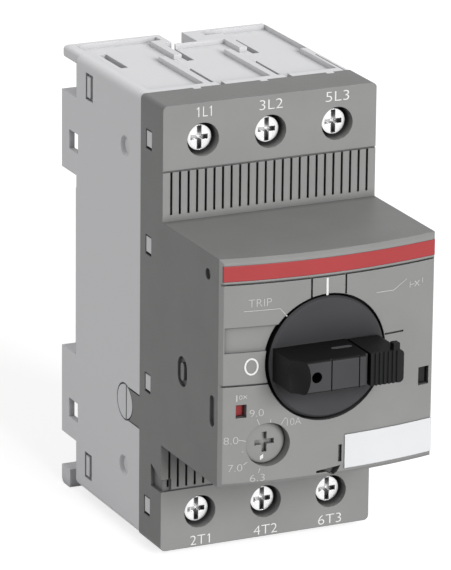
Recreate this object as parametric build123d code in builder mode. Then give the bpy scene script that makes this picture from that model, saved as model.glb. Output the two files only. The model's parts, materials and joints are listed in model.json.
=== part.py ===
"""Manual motor starter: three-pole switch with rotary handle, on a 35 mm rail.

Millimetres. The front faces -Y, +X is to the right, +Z up. The origin is the middle of the
seat that bears on the mounting rail.
"""

import math
import os

from build123d import *

# Overall size
WIDTH = 45.0
HEIGHT = 89.5
BODY_DEPTH = 41.4  # from the terminal front to the rail seat
RAIL_HEIGHT = 46.25  # from the underside to the middle of the rail
COVER_DEPTH = 10.24  # from the terminal front to the seam with the base
POLE_PITCH = 14.15

# Walls of the two shells
BASE_WALL = 1.6
COVER_WALL = 1.5
REAR_WALL = 2.0
ROOF_WALL = 1.6
EDGE_ROUND = 1.0
BASE_ROUND = 1.5
NOSE_CHAMFER = 0.7
PARTITION_WALL = 1.2
PARTITION_FRONT = 13.0
SHELL_PLAY = 0.1
CUT_OVER = 1.0  # reach of a cut past the skin

# Wiring bays in the top and the underside
BAY_SINK = 1.0
BAY_RIM = 1.2
BAY_LEFT_RIM = 2.6
BAY_FRONT_RIM = 2.2
BAY_REAR = 40.6
BAY_JOG = 33.4
LAST_BAY_JOG = 28.4
BAY_LEFT_REAR = -3.4
BAY_LEFT_FRONT = -6.9
BAY_RIGHT_REAR = 9.1
BAY_RIGHT_FRONT = 5.8
REAR_SLOT_WIDTH = 1.5
REAR_SLOT_SINK = 1.1
REAR_SLOT_AT = -2.2
REAR_SLOT = (31.8, 42.4)
FRONT_SLOT_WIDTH = 1.1
FRONT_SLOT_AT = -5.25
FRONT_SLOT_REAR = 26.4
SEAM_WIDTH = 0.25
SEAM_SINK = 0.9
SEAM_AT = (21.9, 20.7)
SEAM_JOG = 23.2
TAB_AT = 3.2
TAB_WIDTH = 1.6
TAB_REACH = 0.9
TAB_THICK = 1.1

# Rear lips above the rail shoulders
LIP_REACH = 7.2
LIP_THICK = 2.5
LIP_INSET = 0.5
LIP_ROUND = 0.8
LIP_NOTCH = (-1.5, 3.5)
LIP_RECESS_FRONT = 44.8
LEFT_RECESS_END = -2.7
RIGHT_RECESS_START = 7.0

# Rail shoulders and the rail itself
SHOULDER_REACH = 6.9
SHOULDER_WALL = 1.2
UPPER_SHOULDER = (64.9, 80.8)
LOWER_SHOULDER = (9.4, 27.6)
WINDOW_DEPTHS = (40.3, 44.7)
UPPER_WINDOW = (69.5, 73.4)
LOWER_WINDOW = (13.5, 17.5)
RAIL_SIZE = 35.0
RAIL_THICK = 1.0
SEAT_RISE = 0.3  # of the rail seat above the housing's rear face
HOOK_GRIP = 1.1
HOOK_THICK = 2.4
HOOK_HALF_WIDTH = 19.0
RAIL_PLAY = 0.3

# Rail latch
LATCH_HALF_WIDTH = 11.0
FOOT_HEIGHTS = (-1.6, 2.2)
FOOT_DEPTHS = (44.3, 48.3)
FOOT_HALF_WIDTH = 22.5
FOOT_ROUND = 1.3
LATCH_LIP = 1.6
LATCH_GUIDE_REACH = 5.9
LATCH_PLAY = 0.2
LATCH_POCKET_HALF = 2.4
LATCH_POCKET = (12.5, 24.0)
LATCH_PEG_HALF = 2.1
LATCH_PEG_HEIGHTS = (13.0, 14.5)
LATCH_SPRING_RADIUS = 1.3
LATCH_SPRING_WIRE = 0.5
LATCH_SPRING_TURNS = 4

# Side marks of the base
SNAP_BOSS_RADIUS = 3.5
SNAP_BOSS_AT = (17.2, 25.4)
SNAP_TONGUE_SINK = 1.2
SNAP_TONGUE_GAP = 0.3
SNAP_TONGUE_HEIGHTS = (21.9, 28.9)
SPLIT_OFFSET = 0.7
SPLIT_WIDTH = 0.45
SIDE_SLOT_SINK = 0.7
SIDE_SLOT_SIZE = (3.4, 5.4)
SIDE_ISLAND_SIZE = (1.6, 4.2)
SIDE_ISLAND_OFFSET = 0.2
UPPER_SIDE_SLOT = (34.8, 84.4)
LOWER_SIDE_SLOT = (35.0, 6.0)
SCOOP_RADIUS = 2.1
SCOOP_SINK = 0.7
SCOOP_TAPER = 40
UPPER_SCOOP = (17.6, 77.2)
LOWER_SCOOP = (17.6, 12.1)

# Snap windows in the cover's sides and the tabs of the base that show in them
TAB_WINDOW_DEPTHS = (5.1, 7.8)
TAB_WINDOW_HEIGHT = 3.9
TAB_WINDOWS_AT = (7.4, 32.6, 60.4, 81.4)
TONGUE_WALL = 1.1
TONGUE_HEIGHT = 3.1
TONGUE_RISE = 0.05
TONGUE_TIP = 0.6
BARB_HALF = 1.28
BARB_SINK = 0.15

# Nose of the cover
NOSE_REACH = 26.06
NOSE_BULGE = 2.43
NOSE_HEIGHTS = (21.94, 66.75)
NOSE_CAVITY = 24.4
NOSE_WALL = 1.6

# Vents above and below the nose
VENT_PITCH = 1.8
VENT_COUNT = 24
VENT_WIDTH = 0.45
UPPER_VENTS = (68.0, 76.4)
LOWER_VENTS = (12.9, 21.4)
BAND_GROOVE = 0.35
UPPER_BAND = 76.6
LOWER_BAND = 12.4
NICK_X = 2.2
NICK_DEPTH = 4.7
NICK_SINK = 0.7
NICK_HEIGHTS = (12.2, 14.7, 16.8)

# Front panel
STRIPE_HEIGHTS = (62.4, 65.5)
STRIPE_X = (-22.0, 22.2)
INLAY_SINK = 0.8
LABEL_HEIGHTS = (23.1, 29.9)
LABEL_X = (2.6, 22.2)
LABEL_PROUD = 0.15
INLAY_PLAY = 0.03
PANEL_GROOVE = 0.35
PANEL_SINK = 0.55
GROOVE_HEIGHT = 61.83
LABEL_SLOT_X = (1.35, 2.05)
LABEL_SLOT_HEIGHTS = (24.6, 28.0)
LABEL_SLOT_SINK = 0.8
CORNER_NOTCH = ((-3.2, 23.35), (1.85, 23.85), (0.7, 21.9), (-1.1, 22.9), (-3.2, 22.9))
CORNER_NOTCH_SINK = 2.0
POINTER_FIELD = (-4.7, 2.4)
CHANNEL_HEIGHTS = (48.4, 53.4)
CHANNEL_X = (-21.6, -11.0)
OFF_FIELD_FLOOR = 41.95
STEP_HEIGHT = 48.6
STEP_GROOVE_X = (11.0, 15.2)
TEST_WINDOW_X = (18.9, 21.3)
TEST_WINDOW_HEIGHTS = (36.9, 40.5)
FLAG_WINDOW_X = (-19.35, -17.3)
FLAG_WINDOW_HEIGHTS = (35.55, 38.15)

# Marks in the nose's sides
SIDE_BOSS_AT = (-9.5, 39.9)
SIDE_BOSS_SIZE = (4.2, 6.0)
SIDE_BOSS_ISLAND = (1.5, 3.6)
SIDE_CUT_AT = (-22.9, 36.3)
SIDE_CUT_SIZE = (2.0, 6.2)
SIDE_DIMPLE_AT = (-20.6, 62.6)
SIDE_DIMPLE_RADIUS = 1.1

# Rotary handle
HANDLE_AT = (-1.35, 45.9)
KNOB_RADIUS = 12.0
KNOB_GAP = 0.5
KNOB_FACE = -28.6
KNOB_BACK = -26.2
POCKET_FLOOR = -26.0
BAR_FACE = -38.7
BAR_HALF_WIDTH = 3.2
BAR_LEFT = -12.7
BAR_RIGHT = 2.2
BAR_ROUND = 0.5
GUIDE_RIGHT = 10.0
GUIDE_HALF_WIDTH = 1.7
GUIDE_FACE = -36.2
GUIDE_PLAY = 0.15
THUMB_RADIUS = 6.2
THUMB_AT = (-15.6, -40.6)
PAD_RIGHT = -5.4
PAD_GROOVE = 0.25
PIN_HOLE_RADIUS = 1.05
PIN_HOLE_X = -8.45
PIN_HOLE_SINK = 4.0
NOTCH_X = (0.24, 0.44)
NOTCH_SINK = 0.3
STEP_X = (1.67, 2.2)
STEP_SINK = 0.5
HUB_RADIUS = 4.5
HUB_END = -22.6
HUB_PLAY = 0.1
RING_GROOVE_RADIUS = 4.1
RING_RADIUS = 5.6
RING_DEPTHS = (-24.1, -23.3)
RING_PLAY = 0.1
RING_OPENING = 3.0

# Padlock slide on the handle
LOCK_X = (2.7, 9.6)
LOCK_BACK = -29.1
LOCK_RIB_PITCH = 0.9
LOCK_RIB_WIDTH = 0.45
LOCK_RIB_SINK = 0.25
LOCK_RIB_COUNT = 6
LOCK_ROUND = 0.9
LOCK_EAR_X = (7.4, 8.7)
LOCK_EAR_RISE = 1.4
LOCK_EAR_BACK = -37.2
PADLOCK_HOLE_RADIUS = 1.6
PADLOCK_HOLE_X = 4.8
PADLOCK_HOLE_DEPTH = -32.4

# Shaft, crank and bearing plate
SHAFT_RADIUS = 3.0
SHAFT_FRONT = -30.0
SHAFT_PLAY = 0.05
SHAFT_END = 8.4
CRANK_RADIUS = 5.0
CRANK_THICK = 1.8
CRANK_PIN_RADIUS = 1.2
CRANK_PIN_LENGTH = 2.9
CONTACT_TRAVEL = 2.9
CRANK_RISE = CONTACT_TRAVEL / 2
CRANK_THROW = CRANK_RISE * math.sqrt(2.0)
PLATE_DEPTHS = (3.6, 5.2)
PLATE_HEIGHTS = (26.6, 64.6)
PLATE_HALF_WIDTH = 19.4
PLATE_FEET = (31.0, 61.0)
PLATE_FOOT_HALF = 2.0
BEARING_RADIUS = 5.0
BEARING_DEPTHS = (1.8, 8.2)
BEARING_PLAY = 0.06

# Current dial
DIAL_AT = (-13.0, 29.8)
DIAL_RADIUS = 4.15
DIAL_PLAY = 0.15
DIAL_FACE = -25.9
DIAL_FLANGE_FRONT = -24.2
DIAL_FLANGE_RADIUS = 5.1
DIAL_FLANGE_THICK = 1.2
DIAL_SHAFT_RADIUS = 2.0
DIAL_SHAFT_END = -12.8
DIAL_SLOT = (1.0, 4.0)
DIAL_SLOT_SINK = 1.0
CAM_RADIUS = 2.6
CAM_OFFSET = 0.8
CAM_THICK = 1.6

# Flag and test button
FLAG_FACE = -25.6
FLAG_END = -16.0
FLAG_PLAY = 0.13
FLAG_COLLAR = 0.6
FLAG_COLLAR_DEPTHS = (-23.2, -22.2)
TEST_FACE = -25.6
TEST_PLAY = 0.18
TEST_X = (19.1, 20.88)
TEST_COLLAR = 0.6
TEST_COLLAR_DEPTHS = (-24.2, -23.2)

# Terminals
UPPER_TERMINAL = 82.2
LOWER_TERMINAL = 7.15
SCREW_HEAD_RADIUS = 2.5
SCREW_HEAD = (1.8, 4.1)
SCREW_RADIUS = 2.0
SCREW_TIP = 13.85
SCREW_SLOT = (0.95, 4.6)
SCREW_CROSS = (0.95, 3.6)
SCREW_SLOT_SINK = 1.4
SCREW_HOLE_RADIUS = 3.3
SCREW_TUBE_WALL = 1.2
SCREW_TUBE_END = 6.0
CLAMP_HALF_WIDTH = 4.2
CLAMP_HALF_HEIGHT = 3.2
CLAMP_WALL = 0.9
CLAMP_FRONT_WALL = 1.5
CLAMP_FRONT = 12.2
CLAMP_LENGTH = 9.1
CLAMP_PLAY = 0.06
BAR_DEPTHS = (14.0, 15.2)
TERMINAL_BAR_HALF = 3.0
WIRE_HALF_WIDTH = 3.4
WIRE_DEPTHS = (15.2, 20.4)

# Springs and coils
SPRING_STEPS = 12
DRUM_SIDES = 12

# Contacts, in the pole chambers
COPPER = 1.2
CONTACT_SEAT = 60.0
TIP_THICK = 0.8
TIP_HALF_WIDTH = 2.5
FRONT_TIP = (17.5, 20.5)
REAR_TIP = (30.5, 33.5)
REAR_LEG = 35.2
LINE_RUN = 75.0
FEEDER_DEPTHS = (15.0, 22.0)
FEEDER_TAIL_END = 50.0
FEEDER_FOOT = 19.6
LINE_BAR_TOP = 86.2
LOAD_BAR_FLOOR = 3.2
BRIDGE_DEPTHS = (16.8, 34.2)
BRIDGE_HALF_WIDTH = 2.6
BRIDGE_GAP = 3.0
BRIDGE_PLAY = 0.3
CONTACT_SPRING_RADIUS = 2.2
CONTACT_SPRING_WIRE = 0.5
CONTACT_SPRING_TURNS = 3

# Contact carrier
CARRIER_DEPTHS = (22.6, 28.4)
CARRIER_BLOCK_HALF = 4.8
CARRIER_SILL = 1.6
CARRIER_WINDOW = 6.6
CARRIER_BEAM = 2.8
CARRIER_HALF_WIDTH = 19.5
TIP_MARGIN = 0.5
CARRIER_PLAY = 0.4
YOKE_DEPTHS = (10.8, 12.8)
YOKE_X = (-6.2, 4.6)
YOKE_FLOOR = 42.0
YOKE_PIN_PLAY = 0.15
OPENING_SPRING_RADIUS = 1.5
OPENING_SPRING_WIRE = 0.5
OPENING_SPRING_DEPTH = 12.4
OPENING_SPRING_TURNS = 4
OPENING_SPRING_X = -0.8
LEDGE_TOP = 28.2
LEDGE_END = 14.0
LEDGE_X = (-3.5, 2.0)

# Arc plates
ARC_PLATE = 0.8
ARC_PITCH = 1.6
ARC_COUNT = 4
FRONT_ARC = (13.4, 16.5)
FRONT_ARC_FLOOR = 61.4
REAR_ARC = (29.6, 34.6)
REAR_ARC_FLOOR = 67.4
ARC_NOTCH = 1.6

# Magnetic release
COIL_AT = 25.5
YOKE_PLATE_HEIGHTS = (33.0, 57.0)
YOKE_PLATE_DEPTHS = (19.0, 33.2)
BOBBIN_RADIUS = 3.7
BOBBIN_FLANGE = 6.0
BOBBIN_FLANGE_THICK = 1.0
WINDING_RADIUS = 5.7
PLUNGER_RADIUS = 2.5
PLUNGER_PLAY = 0.1
PLUNGER_HEIGHTS = (36.5, 50.0)
PLUNGER_PIN_RADIUS = 0.8
PLUNGER_PIN_TOP = 59.2
PLUNGER_STOP_GAP = 0.2
PIN_PLAY = 0.3

# Thermal release
STRIP_DEPTHS = (-8.0, -4.0)
STRIP_THICK = 0.8
STRIP_TOP = 40.4
BRACKET_DEPTHS = (-12.0, 0.0)
BRACKET_TOP = 26.4
HEATER_HEIGHTS = (26.4, 36.4)
HEATER_WALL = 1.2
HEATER_PLAY = 0.15
SLIDER_HEIGHTS = (37.6, 40.0)
SLIDER_DEPTHS = (-9.2, -2.8)
SLIDER_X = (-19.2, 20.7)
SLIDER_SLOT_HALF = 2.1
SLIDER_PLAY = 0.3
WEDGE = 27.0  # X minus depth along the sloping end of the slider
WEDGE_GAP = 0.42
GUIDE_POST_X = (17.6, 20.8)
GUIDE_POST_TOP = 36.8
LOAD_RUN = 24.4

HALF = WIDTH / 2
BASE_INNER = HALF - BASE_WALL
COVER_INNER = HALF - COVER_WALL
POLES = (-POLE_PITCH, 0.0, POLE_PITCH)
BACK_DEPTH = BODY_DEPTH - SEAT_RISE
CAVITY_REAR = BACK_DEPTH - REAR_WALL
CAVITY_HEIGHTS = (BAY_SINK + ROOF_WALL, HEIGHT - BAY_SINK - ROOF_WALL)
CHAMBER_HALF = (POLE_PITCH - PARTITION_WALL) / 2
BRACKET_HEIGHTS = (NOSE_HEIGHTS[0] + NOSE_WALL, BRACKET_TOP)
NOSE_RADIUS = (HALF**2 + NOSE_BULGE**2) / (2 * NOSE_BULGE)
NOSE_CENTRE = NOSE_RADIUS - NOSE_REACH - NOSE_BULGE

os.makedirs("parts", exist_ok=True)


def at_height(height):
    """Z of a height above the underside."""
    return height - RAIL_HEIGHT


def at_depth(depth):
    """Y of a depth behind the terminal front."""
    return depth - BODY_DEPTH


def middle(span):
    return (span[0] + span[1]) / 2


def length(span):
    return span[1] - span[0]


def around(centre, half):
    return (centre - half, centre + half)


def front_plane(depth):
    """Upright plane that looks to the front; its own axes run along X and Z."""
    return Plane(origin=(0, at_depth(depth), 0), x_dir=(1, 0, 0), z_dir=(0, -1, 0))


def side_plane(x):
    """Upright plane that looks to +X; its own axes run along Y and Z."""
    return Plane.YZ.offset(x)


def level(height):
    return Plane.XY.offset(at_height(height))


def block(x, depths, heights, mode=Mode.ADD):
    """Straight block between two levels."""
    with BuildSketch(level(heights[0])) as outline:
        with Locations((middle(x), at_depth(middle(depths)))):
            Rectangle(length(x), length(depths))
    extrude(outline.sketch, amount=length(heights), mode=mode)


def rod(x, height, depths, radius, mode=Mode.ADD):
    """Round bar that runs from front to rear."""
    with BuildSketch(front_plane(depths[1])) as outline:
        with Locations((x, at_height(height))):
            Circle(radius)
    extrude(outline.sketch, amount=length(depths), mode=mode)


def post(x, depth, heights, radius, mode=Mode.ADD):
    """Round bar that stands upright."""
    with BuildSketch(level(heights[0])) as outline:
        with Locations((x, at_depth(depth))):
            Circle(radius)
    extrude(outline.sketch, amount=length(heights), mode=mode)


def profile(plane, points, amount, mode=Mode.ADD):
    """Prism with a straight-edged outline."""
    with BuildSketch(plane) as outline:
        with BuildLine():
            Polyline(*points, close=True)
        make_face()
    extrude(outline.sketch, amount=amount, mode=mode)


def nose_point(x, sink):
    """Point of the nose's curved front in plan, sunk below it by a distance."""
    radius = NOSE_RADIUS - sink
    return (x, at_depth(NOSE_CENTRE) - math.sqrt(radius**2 - x**2))


def nose_band(x, sinks, heights, mode=Mode.ADD):
    """Curved strip that follows the nose's front between two depths below it."""
    with BuildSketch(level(heights[0])) as outline:
        with BuildLine():
            outer = [nose_point(px, sinks[0]) for px in (x[0], middle(x), x[1])]
            inner = [nose_point(px, sinks[1]) for px in (x[1], middle(x), x[0])]
            ThreePointArc(*outer)
            Line(outer[-1], inner[0])
            ThreePointArc(*inner)
            Line(inner[-1], outer[0])
        make_face()
    extrude(outline.sketch, amount=length(heights), mode=mode)


def drum(x, depth, heights, half, mode=Mode.ADD):
    """Upright prism with many flats, for what is wound or moulded in flats."""
    with BuildSketch(level(heights[0])) as outline:
        with Locations((x, at_depth(depth))):
            RegularPolygon(half, DRUM_SIDES, major_radius=False)
    extrude(outline.sketch, amount=length(heights), mode=mode)


def coil_spring(x, depth, heights, radius, wire, turns):
    """Upright compression spring of square wire, bent in short straight steps."""
    foot = at_height(heights[0]) + wire
    rise = length(heights) - 2 * wire
    steps = turns * SPRING_STEPS
    turn = 2 * math.pi / SPRING_STEPS
    points = [
        (
            x + radius * math.cos(turn * step),
            at_depth(depth) + radius * math.sin(turn * step),
            foot + rise * step / steps,
        )
        for step in range(steps + 1)
    ]
    with BuildPart() as spring:
        with BuildLine() as path:
            Polyline(*points)
        with BuildSketch(Plane(origin=path.line @ 0, z_dir=path.line % 0)) as section:
            RegularPolygon(wire / 2, 4)
        sweep(section.sketch, path=path.line, transition=Transition.RIGHT)
    return spring.part


def save(part, name):
    part.label = name
    export_step(part, f"parts/{name}.step")


def both_ends(heights):
    """The same span at the top and mirrored at the underside."""
    return (heights, (HEIGHT - heights[1], HEIGHT - heights[0]))


def bay_outline(pole):
    """Plan of one wiring bay, with the jog that its partitions have."""
    first, last = pole == POLES[0], pole == POLES[-1]
    left_rear = -HALF + BAY_LEFT_RIM if first else pole + BAY_LEFT_REAR
    left_front = -HALF + BAY_LEFT_RIM if first else pole + BAY_LEFT_FRONT
    right_rear = HALF - BAY_RIM if last else pole + BAY_RIGHT_REAR
    right_jog = at_depth(LAST_BAY_JOG if last else BAY_JOG)
    front, jog, rear = (at_depth(d) for d in (COVER_DEPTH + BAY_FRONT_RIM, BAY_JOG, BAY_REAR))
    right_front = pole + BAY_RIGHT_FRONT
    right_side = (
        (right_front, front),
        (right_front, right_jog),
        (right_rear, right_jog),
        (right_rear, rear),
    )
    left_side = ((left_rear, rear), (left_rear, jog), (left_front, jog), (left_front, front))
    return right_side + (left_side[::3] if first else left_side)


def side_spans(outer, inner):
    """A span of X on the right side and its mirror on the left."""
    return ((inner, outer), (-outer, -inner))


# Base housing
with BuildPart() as base_housing:
    block((-HALF, HALF), (COVER_DEPTH, BACK_DEPTH), (0, HEIGHT))
    long_edges = edges().filter_by(Axis.Y)
    fillet(long_edges, BASE_ROUND)
    block(
        (-BASE_INNER, BASE_INNER), (COVER_DEPTH, CAVITY_REAR), CAVITY_HEIGHTS, Mode.SUBTRACT
    )
    # Walls between the poles, notched for the carrier's beam
    beam_top = CONTACT_SEAT + TIP_THICK + BRIDGE_GAP + TIP_THICK + CARRIER_WINDOW + CARRIER_BEAM
    beam_sweep = (beam_top - CARRIER_BEAM - CONTACT_TRAVEL - CARRIER_PLAY, beam_top + CARRIER_PLAY)
    for side in (-1, 1):
        block(
            around(side * POLE_PITCH / 2, PARTITION_WALL / 2),
            (PARTITION_FRONT, CAVITY_REAR),
            CAVITY_HEIGHTS,
        )
        block(
            around(side * POLE_PITCH / 2, PARTITION_WALL / 2),
            (CARRIER_DEPTHS[0] - CARRIER_PLAY, CARRIER_DEPTHS[1] + CARRIER_PLAY),
            beam_sweep,
            Mode.SUBTRACT,
        )
    # Wiring bays and their slots, above and below
    for heights in both_ends((HEIGHT - BAY_SINK, HEIGHT)):
        for pole in POLES:
            profile(level(heights[0]), bay_outline(pole), BAY_SINK, Mode.SUBTRACT)
    for heights in both_ends((HEIGHT - BAY_SINK - ROOF_WALL, HEIGHT)):
        for pole in POLES[1:]:
            block(
                around(pole + FRONT_SLOT_AT, FRONT_SLOT_WIDTH / 2),
                (COVER_DEPTH, FRONT_SLOT_REAR),
                heights,
                Mode.SUBTRACT,
            )
    # Seam line of the right wall
    for heights in both_ends((HEIGHT - SEAM_SINK, HEIGHT)):
        rear_seam = around(SEAM_AT[0], SEAM_WIDTH / 2)
        front_seam = around(SEAM_AT[1], SEAM_WIDTH / 2)
        block(rear_seam, (SEAM_JOG, BACK_DEPTH), heights, Mode.SUBTRACT)
        block(front_seam, (COVER_DEPTH, SEAM_JOG), heights, Mode.SUBTRACT)
    # Tabs that reach over the cover's edge
    for heights in both_ends((HEIGHT - TAB_THICK, HEIGHT)):
        for pole in POLES:
            block(
                around(pole + TAB_AT, TAB_WIDTH / 2),
                (COVER_DEPTH - TAB_REACH, COVER_DEPTH + BAY_RIM),
                heights,
            )
    # Wire entries of the load side
    for pole in POLES:
        block(
            around(pole, WIRE_HALF_WIDTH), WIRE_DEPTHS, (0, CAVITY_HEIGHTS[0]), Mode.SUBTRACT
        )
    # Rear lips, rounded at their outer ends
    lip_rear = BODY_DEPTH + LIP_REACH
    for x in ((-HALF + LIP_INSET, LIP_NOTCH[0]), (LIP_NOTCH[1], HALF - LIP_INSET)):
        with BuildSketch(front_plane(lip_rear)) as lip:
            with Locations((middle(x), at_height(HEIGHT - LIP_THICK / 2))):
                Rectangle(length(x), LIP_THICK)
            outer_end = 0 if x[1] == LIP_NOTCH[0] else -1
            fillet(lip.vertices().group_by(Axis.X)[outer_end], LIP_ROUND)
        extrude(lip.sketch, amount=lip_rear - BACK_DEPTH)
    # Recesses that carry the bays into the lips, and the slots behind the partitions
    recess = (HEIGHT - BAY_SINK, HEIGHT)
    recess_rear = lip_rear - BAY_RIM
    left_bay = (-HALF + BAY_LEFT_RIM, POLES[0] + BAY_RIGHT_REAR)
    right_bay = (POLES[-1] + BAY_LEFT_REAR, HALF - BAY_RIM)
    for x in (left_bay, right_bay):
        block(x, (BAY_REAR, recess_rear), recess, Mode.SUBTRACT)
    for x in ((left_bay[1], LEFT_RECESS_END), (RIGHT_RECESS_START, right_bay[0])):
        block(x, (LIP_RECESS_FRONT, recess_rear), recess, Mode.SUBTRACT)
    for heights in both_ends((HEIGHT - BAY_SINK - REAR_SLOT_SINK, HEIGHT)):
        for pole in POLES:
            slot_x = around(pole + REAR_SLOT_AT, REAR_SLOT_WIDTH / 2)
            block(slot_x, REAR_SLOT, heights, Mode.SUBTRACT)
    # Rail shoulders: two flanges joined by a wall above and below, open to the rear
    for heights, window in ((UPPER_SHOULDER, UPPER_WINDOW), (LOWER_SHOULDER, LOWER_WINDOW)):
        depths = (BACK_DEPTH, BODY_DEPTH + SHOULDER_REACH)
        for x in side_spans(HALF, HALF - SHOULDER_WALL):
            block(x, depths, heights)
        inner = 0 if heights == UPPER_SHOULDER else LATCH_HALF_WIDTH + RAIL_PLAY
        for x in side_spans(HALF, inner):
            block(x, depths, (heights[0], heights[0] + SHOULDER_WALL))
            block(x, depths, (heights[1] - SHOULDER_WALL, heights[1]))
        block((-HALF, HALF), WINDOW_DEPTHS, window, Mode.SUBTRACT)
    # Fixed hook over the rail's upper edge
    hook_depths = (
        BODY_DEPTH + RAIL_THICK + RAIL_PLAY,
        BODY_DEPTH + RAIL_THICK + RAIL_PLAY + HOOK_THICK,
    )
    rail_top = RAIL_HEIGHT + RAIL_SIZE / 2
    rail_bottom = RAIL_HEIGHT - RAIL_SIZE / 2
    block(
        (-HOOK_HALF_WIDTH, HOOK_HALF_WIDTH),
        hook_depths,
        (rail_top - HOOK_GRIP, UPPER_SHOULDER[0] + SHOULDER_WALL / 2),
    )
    # Seat that bears on the rail's front, clear of both hooks
    seat_heights = (rail_bottom + HOOK_GRIP + RAIL_PLAY, rail_top - HOOK_GRIP - RAIL_PLAY)
    block((-HALF, HALF), (BACK_DEPTH, BODY_DEPTH), seat_heights)
    # Guides of the rail latch
    for x in side_spans(LATCH_HALF_WIDTH + RAIL_PLAY + SHOULDER_WALL, LATCH_HALF_WIDTH + RAIL_PLAY):
        block(x, (BACK_DEPTH, BODY_DEPTH + LATCH_GUIDE_REACH), LOWER_SHOULDER)
    lip_front = hook_depths[1] + LATCH_PLAY
    for x in side_spans(LATCH_HALF_WIDTH + RAIL_PLAY, LATCH_HALF_WIDTH - LATCH_LIP):
        block(x, (lip_front, BODY_DEPTH + LATCH_GUIDE_REACH), LOWER_SHOULDER)
    # Peg under the latch spring
    block(around(0, LATCH_PEG_HALF), (BACK_DEPTH, hook_depths[1]), LATCH_PEG_HEIGHTS)
    # Snap boss in its pocket, split by a slot, and the marks on both sides
    for side in (-1, 1):
        skin = side_plane(side * HALF)
        boss = (at_depth(SNAP_BOSS_AT[0]), at_height(SNAP_BOSS_AT[1]))
        with BuildSketch(skin) as pocket:
            with Locations(boss):
                Circle(SNAP_BOSS_RADIUS + SNAP_TONGUE_GAP)
            with Locations((at_depth(middle((COVER_DEPTH, SNAP_BOSS_AT[0]))), boss[1])):
                Rectangle(SNAP_BOSS_AT[0] - COVER_DEPTH, length(SNAP_TONGUE_HEIGHTS))
            with Locations(boss):
                Circle(SNAP_BOSS_RADIUS, mode=Mode.SUBTRACT)
            with Locations((boss[0] - SPLIT_OFFSET, boss[1])):
                Rectangle(SPLIT_WIDTH, 2 * SNAP_BOSS_RADIUS)
        extrude(pocket.sketch, amount=-side * SNAP_TONGUE_SINK, mode=Mode.SUBTRACT)
        for depth, height in (UPPER_SIDE_SLOT, LOWER_SIDE_SLOT):
            with BuildSketch(skin) as mark:
                with Locations((at_depth(depth), at_height(height))):
                    Rectangle(*SIDE_SLOT_SIZE)
                with Locations((at_depth(depth + SIDE_ISLAND_OFFSET), at_height(height))):
                    Rectangle(*SIDE_ISLAND_SIZE, mode=Mode.SUBTRACT)
            extrude(mark.sketch, amount=-side * SIDE_SLOT_SINK, mode=Mode.SUBTRACT)
        for depth, height in (UPPER_SCOOP, LOWER_SCOOP):
            scoop_at = (side * HALF, at_depth(depth), at_height(height))
            with BuildSketch(Plane(origin=scoop_at, z_dir=(-side, 0, 0))) as scoop:
                Circle(SCOOP_RADIUS)
            extrude(scoop.sketch, amount=SCOOP_SINK, taper=SCOOP_TAPER, mode=Mode.SUBTRACT)
    # Tongues that snap into the cover's side windows
    for side in (-1, 1):
        for height in TAB_WINDOWS_AT:
            heights = around(height + TONGUE_RISE, TONGUE_HEIGHT / 2)
            inner = COVER_INNER - SHELL_PLAY
            x = sorted((side * inner, side * (inner - TONGUE_WALL)))
            block(x, (TAB_WINDOW_DEPTHS[0] - TONGUE_TIP, PARTITION_FRONT), heights)
            x = sorted((side * inner, side * (HALF - BARB_SINK)))
            block(x, around(middle(TAB_WINDOW_DEPTHS), BARB_HALF), heights)
save(base_housing.part, "base_housing")

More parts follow.
